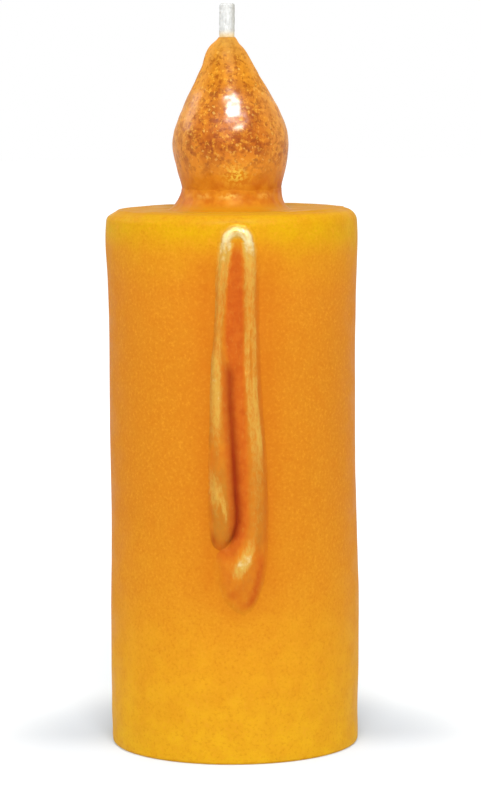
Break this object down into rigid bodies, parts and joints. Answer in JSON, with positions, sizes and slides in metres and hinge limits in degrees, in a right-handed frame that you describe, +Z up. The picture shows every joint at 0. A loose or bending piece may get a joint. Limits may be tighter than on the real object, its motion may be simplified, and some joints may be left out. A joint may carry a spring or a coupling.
{
  "type": "unity candle",
  "caption": "Round wax pillar candle topped with a moulded wax flame and wick, with a raised relief of two gilded wax drips down the front.",
  "frame": {"origin": "centre of the flat base that the candle stands on", "axes": "+Z up along the wick, -Y towards the front with the drips, +X to the right seen from the front"},
  "size_m": [0.0762, 0.0782, 0.2286],
  "materials": {
    "pillar_wax": "satin mottled yellow-orange wax",
    "fill_wax": "matt yellow-orange wax",
    "sustainer_steel": "stamped tin-plated steel",
    "wick_cotton": "white braided cotton primed with wax",
    "flame_wax": "glossy amber-orange wax with gold glitter",
    "bead_wax": "glossy amber wax",
    "gilded_wax": "wax brushed with pale gold",
    "web_wax": "satin red-orange wax",
    "drip_wax": "satin orange wax, ridges brushed with gold"
  },
  "bodies": {
    "root": {"pillar_body": "pillar_wax", "base_fill": "fill_wax", "wick_sustainer": "sustainer_steel", "wick": "wick_cotton", "flame_finial": "flame_wax", "weld_bead": "bead_wax", "drip_arch": "gilded_wax", "drip_web": "web_wax", "short_drip": "drip_wax", "long_drip": "drip_wax"}
  },
  "joints": []
}
